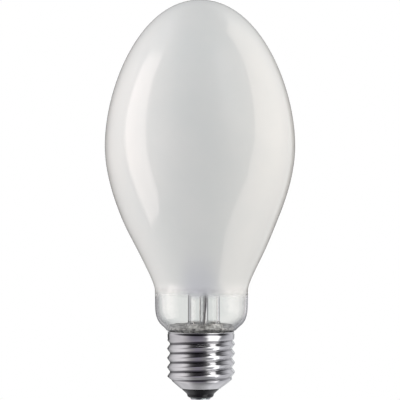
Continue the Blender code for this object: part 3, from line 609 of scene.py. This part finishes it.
for piece, node, name in (
    (bulb, "outer_bulb", "coated_glass"),
    (shell, "screw_shell", "nickel_plate"),
    (insulator, "cap_insulator", "black_glass"),
    (contact, "centre_contact", "contact_metal"),
    (stem, "stem", "clear_glass"),
):
    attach(piece, "root")
    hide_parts(node)

for row in frame["record"]["subparts"]:
    node = frame["nodes"][row["node"]]
    node.data.materials.clear()
    node.data.materials.append(FINISHES[row["material_slot"]])


# Studio
def aimed(azimuth, elevation):
    """Unit direction: azimuth 0 is towards the camera, and a positive one is to the picture's right."""
    azimuth, elevation = np.broadcast_arrays(np.radians(azimuth), np.radians(elevation))
    across, back = np.sin(azimuth) * np.cos(elevation), -np.cos(azimuth) * np.cos(elevation)
    return np.stack([across, back, np.sin(elevation)], -1)


def panel(name, near, far, slant, reach, strength, colour, fade, pieces):
    """Light panel bent round the lamp at a reach, between a near and a far edge.

    Near and far are lists of (height, azimuth). The top falls by the slant from near to far. The panel
    glows less within a share of its near, far, low and high edge, and lights only its pieces.
    """
    u, v = np.meshgrid(np.linspace(0, 1, 33), np.linspace(0, 1, 65))
    near, far = np.array(near, float), np.array(far, float)
    height = near[0, 0] + (near[-1, 0] - near[0, 0] - slant * u) * v
    start = np.interp(height, near[:, 0], near[:, 1])
    end = np.interp(height, far[:, 0], far[:, 1])
    verts = aimed(start + (end - start) * u, 0.0) * reach
    verts[..., 2] = height
    index = np.arange(u.size).reshape(u.shape)
    quads = np.stack([index[:-1, :-1], index[:-1, 1:], index[1:, 1:], index[1:, :-1]], 2).reshape(-1, 4)
    glow = np.ones_like(u)
    for value, share in zip((u, 1 - u, v, 1 - v), fade):
        glow = glow * smooth(value, 0, share)
    s = Shader(name)
    reading = s.add("ShaderNodeAttribute", attribute_name="glow").outputs["Fac"]
    shine = s.add("ShaderNodeEmission")
    s.put(shine, Color=(*colour, 1.0), Strength=s.calc("MULTIPLY", reading, strength))
    surface = s.done(s.added(shine.outputs[0], s.transparent()))
    made = mesh_object(name, verts.reshape(-1, 3), [quads], surface)
    made.data.attributes.new("glow", "FLOAT", "POINT").data.foreach_set("value", glow.ravel())
    made.visible_camera = False
    made.visible_transmission = False
    group = bpy.data.collections.new(name + "_pieces")
    for piece in pieces:
        group.objects.link(piece)
    made.light_linking.receiver_collection = group


# The pieces that each panel lights, and how far from the axis the panels stand
GLASS_PIECES = [bulb, stem]
TUBE_PIECES = [bulb, stem, frame["nodes"]["exhaust_tube"]]
CAP_PIECES = [shell, insulator, contact]
BULB_REACH, CAP_REACH = 300, 900

panel(
    "left_softbox",
    [(-135, -84), (-128, -66), (-100, -59), (-70, -57), (30, -60.5), (95, -63), (215, -67.5), (300, -70),
     (420, -71.5), (500, -76)],
    [(-135, -90), (-72, -92), (-5, -95), (86, -99), (165, -103), (333, -103), (500, -100)],
    slant=110, reach=BULB_REACH, strength=2.35, colour=(1.0, 0.88, 0.85), fade=(0.02, 0.2, 0.02, 0.18),
    pieces=GLASS_PIECES)
panel(
    "right_softbox",
    [(-285, 47), (-250, 46.5), (-215, 43), (-160, 48.7), (-99, 51.5), (-26, 58.5), (26, 59), (119, 64),
     (214, 69), (293, 72.5), (377, 77), (500, 80), (700, 84)],
    [(-285, 120), (-17, 129), (94, 128), (163, 132), (211, 140), (500, 150), (700, 150)],
    slant=150, reach=BULB_REACH, strength=1.60, colour=(1.0, 0.90, 0.82), fade=(0.01, 0.80, 0.02, 0.03),
    pieces=TUBE_PIECES)
panel(
    "strip_light",
    [(-1700, 50), (-900, 16), (-140, 16), (-60, 4), (20, 4), (120, 16), (900, 16), (2000, 46)],
    [(-1700, 118), (-1100, 112), (-800, 78), (-600, 72), (-160, 72), (-60, 79), (40, 79), (140, 72),
     (900, 72), (2000, 88)],
    slant=0, reach=CAP_REACH, strength=1.3, colour=(1.0, 1.0, 1.0), fade=(0.3, 0.2, 0.05, 0.05),
    pieces=CAP_PIECES)
panel(
    "edge_light",
    [(-450, 150), (900, 150)],
    [(-450, 184), (900, 184)],
    slant=0, reach=CAP_REACH, strength=0.6, colour=(0.95, 0.98, 1.0), fade=(0.1, 0.6, 0.2, 0.1),
    pieces=CAP_PIECES)

# Fill lights: azimuth, elevation, strength and colour
FILLS = {
    "front": (0, 0, 0.80, (0.94, 1.0, 0.98)),
    "front_high": (0, 45, 0.60, (1.0, 0.90, 0.94)),
    "top": (0, 90, 0.52, (0.78, 0.93, 1.0)),
    "left": (-90, 0, 0.42, (0.80, 1.0, 0.93)),
    "right_high": (60, 45, 0.22, (0.90, 1.0, 0.97)),
    "right_back": (120, 0, 0.30, (1.0, 1.0, 1.0)),
    "back": (180, 0, 0.60, (1.0, 1.0, 1.0)),
}
FILL_SPREAD = math.radians(40)


def fill(name, azimuth, elevation, strength, colour):
    """Wide soft light from one direction that no mirror or glass shows."""
    lamp = bpy.data.lights.new(name, "SUN")
    lamp.energy, lamp.color, lamp.angle = strength, colour, FILL_SPREAD
    made = bpy.data.objects.new(name, lamp)
    made.location = way = Vector(aimed(azimuth, elevation))
    made.rotation_euler = way.to_track_quat("Z", "Y").to_euler()
    made.visible_glossy = False
    made.visible_transmission = False
    bpy.context.scene.collection.objects.link(made)


for name, values in FILLS.items():
    fill(name + "_fill", *values)

# What mirrors see round the lamp: (azimuth, grey level) above, level with and below it
CEILING = [
    (-180, 0.45), (-137, 0.62), (-112, 0.90), (-90, 0.98), (-76, 0.75), (-58, 0.20), (-30, 0.02),
    (-5, 0.01), (10, 0.04), (28, 0.3), (42, 0.9), (54, 0.7), (66, 0.25), (84, 0.12), (102, 0.12),
    (118, 0.45), (135, 0.8), (180, 0.45)]
WALLS = [
    (-180, 0.04), (-144, 0.06), (-132, 0.42), (-116, 0.57), (-90, 0.68), (-64, 0.78), (-50, 0.62),
    (-30, 0.28), (-14, 0.19), (6, 0.19), (20, 0.30), (60, 0.40), (74, 0.36), (88, 0.32), (108, 0.58),
    (125, 0.76), (150, 0.80), (158, 0.06), (180, 0.04)]
TABLE = [
    (-180, 1.0), (-140, 0.68), (-110, 0.95), (-90, 0.97), (-70, 0.70), (-50, 0.46), (-25, 0.34), (10, 0.34),
    (30, 0.42), (50, 0.55), (80, 0.60), (110, 0.80), (140, 0.62), (180, 1.0)]
# Straight above and straight below it
ZENITH, NADIR = (0.04, 0.04, 0.04), (0.26, 0.26, 0.26)
# The colour of that light, by azimuth: near white, violet in front and bluish on the right
TINTS = [
    (-180, (0.975, 0.98, 1.01)), (-50, (1.0, 0.97, 1.0)), (-15, (0.93, 0.87, 1.06)),
    (10, (0.97, 0.92, 1.05)), (30, (0.99, 0.985, 1.0)), (85, (0.95, 0.96, 1.02)),
    (180, (0.975, 0.98, 1.01))]
# Degrees by which all of it is turned to the left
MIRROR_TURN = 6
# Heights on a unit sphere between which the walls give way to the others
TO_CEILING, TO_ZENITH, TO_TABLE, TO_NADIR = (0.05, 0.45), (0.82, 0.94), (-0.12, -0.60), (-0.87, -0.98)
# What the camera sees round the lamp, and what lights matt surfaces
WHITE, AMBIENT = (1.0, 1.0, 1.0), (0.18, 0.18, 0.18)


def make_world():
    """White to the camera and through glass, even grey to matt surfaces, and a grey studio to mirrors."""
    made = bpy.data.worlds.new("studio")
    made.use_nodes = True
    s = Nodes(made.node_tree)
    way = s.parts(s.add("ShaderNodeTexCoord").outputs["Generated"])
    angle = s.calc("ARCTAN2", way["X"], s.calc("MULTIPLY", way["Y"], -1.0))
    turns = s.calc("ADD", s.calc("DIVIDE", angle, 2 * math.pi), 0.5 + MIRROR_TURN / 360)
    around = s.calc("FRACT", turns)

    def ring(stops):
        ramp = s.add("ShaderNodeValToRGB")
        marks = ramp.color_ramp.elements
        for at, (azimuth, colour) in enumerate(stops):
            mark = marks[at] if at < 2 else marks.new(1.0)
            mark.position = (azimuth + 180) / 360
            mark.color = (*np.broadcast_to(colour, 3), 1.0)
        s.feed(ramp.inputs[0], around)
        return ramp.outputs[0]

    def share(heights):
        return s.ramp(way["Z"], 0.0, 1.0, *heights)

    studio = s.blend(share(TO_CEILING), ring(WALLS), ring(CEILING))
    studio = s.blend(share(TO_ZENITH), studio, ZENITH)
    studio = s.blend(share(TO_TABLE), studio, ring(TABLE))
    studio = s.blend(share(TO_NADIR), studio, NADIR)
    studio = s.blend(1.0, studio, ring(TINTS), "MULTIPLY")
    mirrored = s.add("ShaderNodeLightPath").outputs["Is Glossy Ray"]
    light = s.blend(s.seen(), s.blend(mirrored, AMBIENT, studio), WHITE)
    background = s.put(s.add("ShaderNodeBackground"), Color=light)
    s.put(s.add("ShaderNodeOutputWorld"), Surface=background.outputs[0])
    made.cycles.sampling_method = "NONE"
    bpy.context.scene.world = made


# Floor: half its side, its height, the grey of its paint, and the glow that makes it white to the camera
FLOOR_HALF, FLOOR_HEIGHT, FLOOR_GREY, FLOOR_GLOW = 2500.0, -300.0, 0.8, 0.4


def make_floor():
    """Pale floor under the lamp, matt to every light, that is white to the camera where no shadow falls."""
    sides = [(-1, -1), (1, -1), (1, 1), (-1, 1)]
    verts = np.array([(x * FLOOR_HALF, y * FLOOR_HALF, FLOOR_HEIGHT) for x, y in sides])
    s = Shader("floor")
    paint = s.put(s.add("ShaderNodeBsdfDiffuse"), Color=(FLOOR_GREY, FLOOR_GREY, FLOOR_GREY, 1.0))
    shine = s.put(s.add("ShaderNodeEmission"), Strength=s.calc("MULTIPLY", s.seen(), FLOOR_GLOW))
    surface = s.done(s.added(paint.outputs[0], shine.outputs[0]))
    made = mesh_object("floor", verts, [np.array([[0, 1, 2, 3]])], surface)
    made.visible_glossy = False


make_world()
make_floor()

# Camera
FOCAL_LENGTH, SENSOR_WIDTH = 242.3, 36.0
CAMERA_DISTANCE, CAMERA_HEIGHT = 1050.0, 78.6

lens = bpy.data.cameras.new("camera")
lens.lens, lens.sensor_width = FOCAL_LENGTH, SENSOR_WIDTH
camera = bpy.data.objects.new("camera", lens)
camera.location = (0.0, -CAMERA_DISTANCE * MM, CAMERA_HEIGHT * MM)
camera.rotation_euler = (math.radians(90), 0.0, 0.0)
scene = bpy.context.scene
scene.collection.objects.link(camera)
scene.camera = camera
scene.view_settings.view_transform = "Standard"
scene.cycles.max_bounces = 24
scene.cycles.glossy_bounces = 4
scene.cycles.transmission_bounces = 24
scene.cycles.transparent_max_bounces = 32
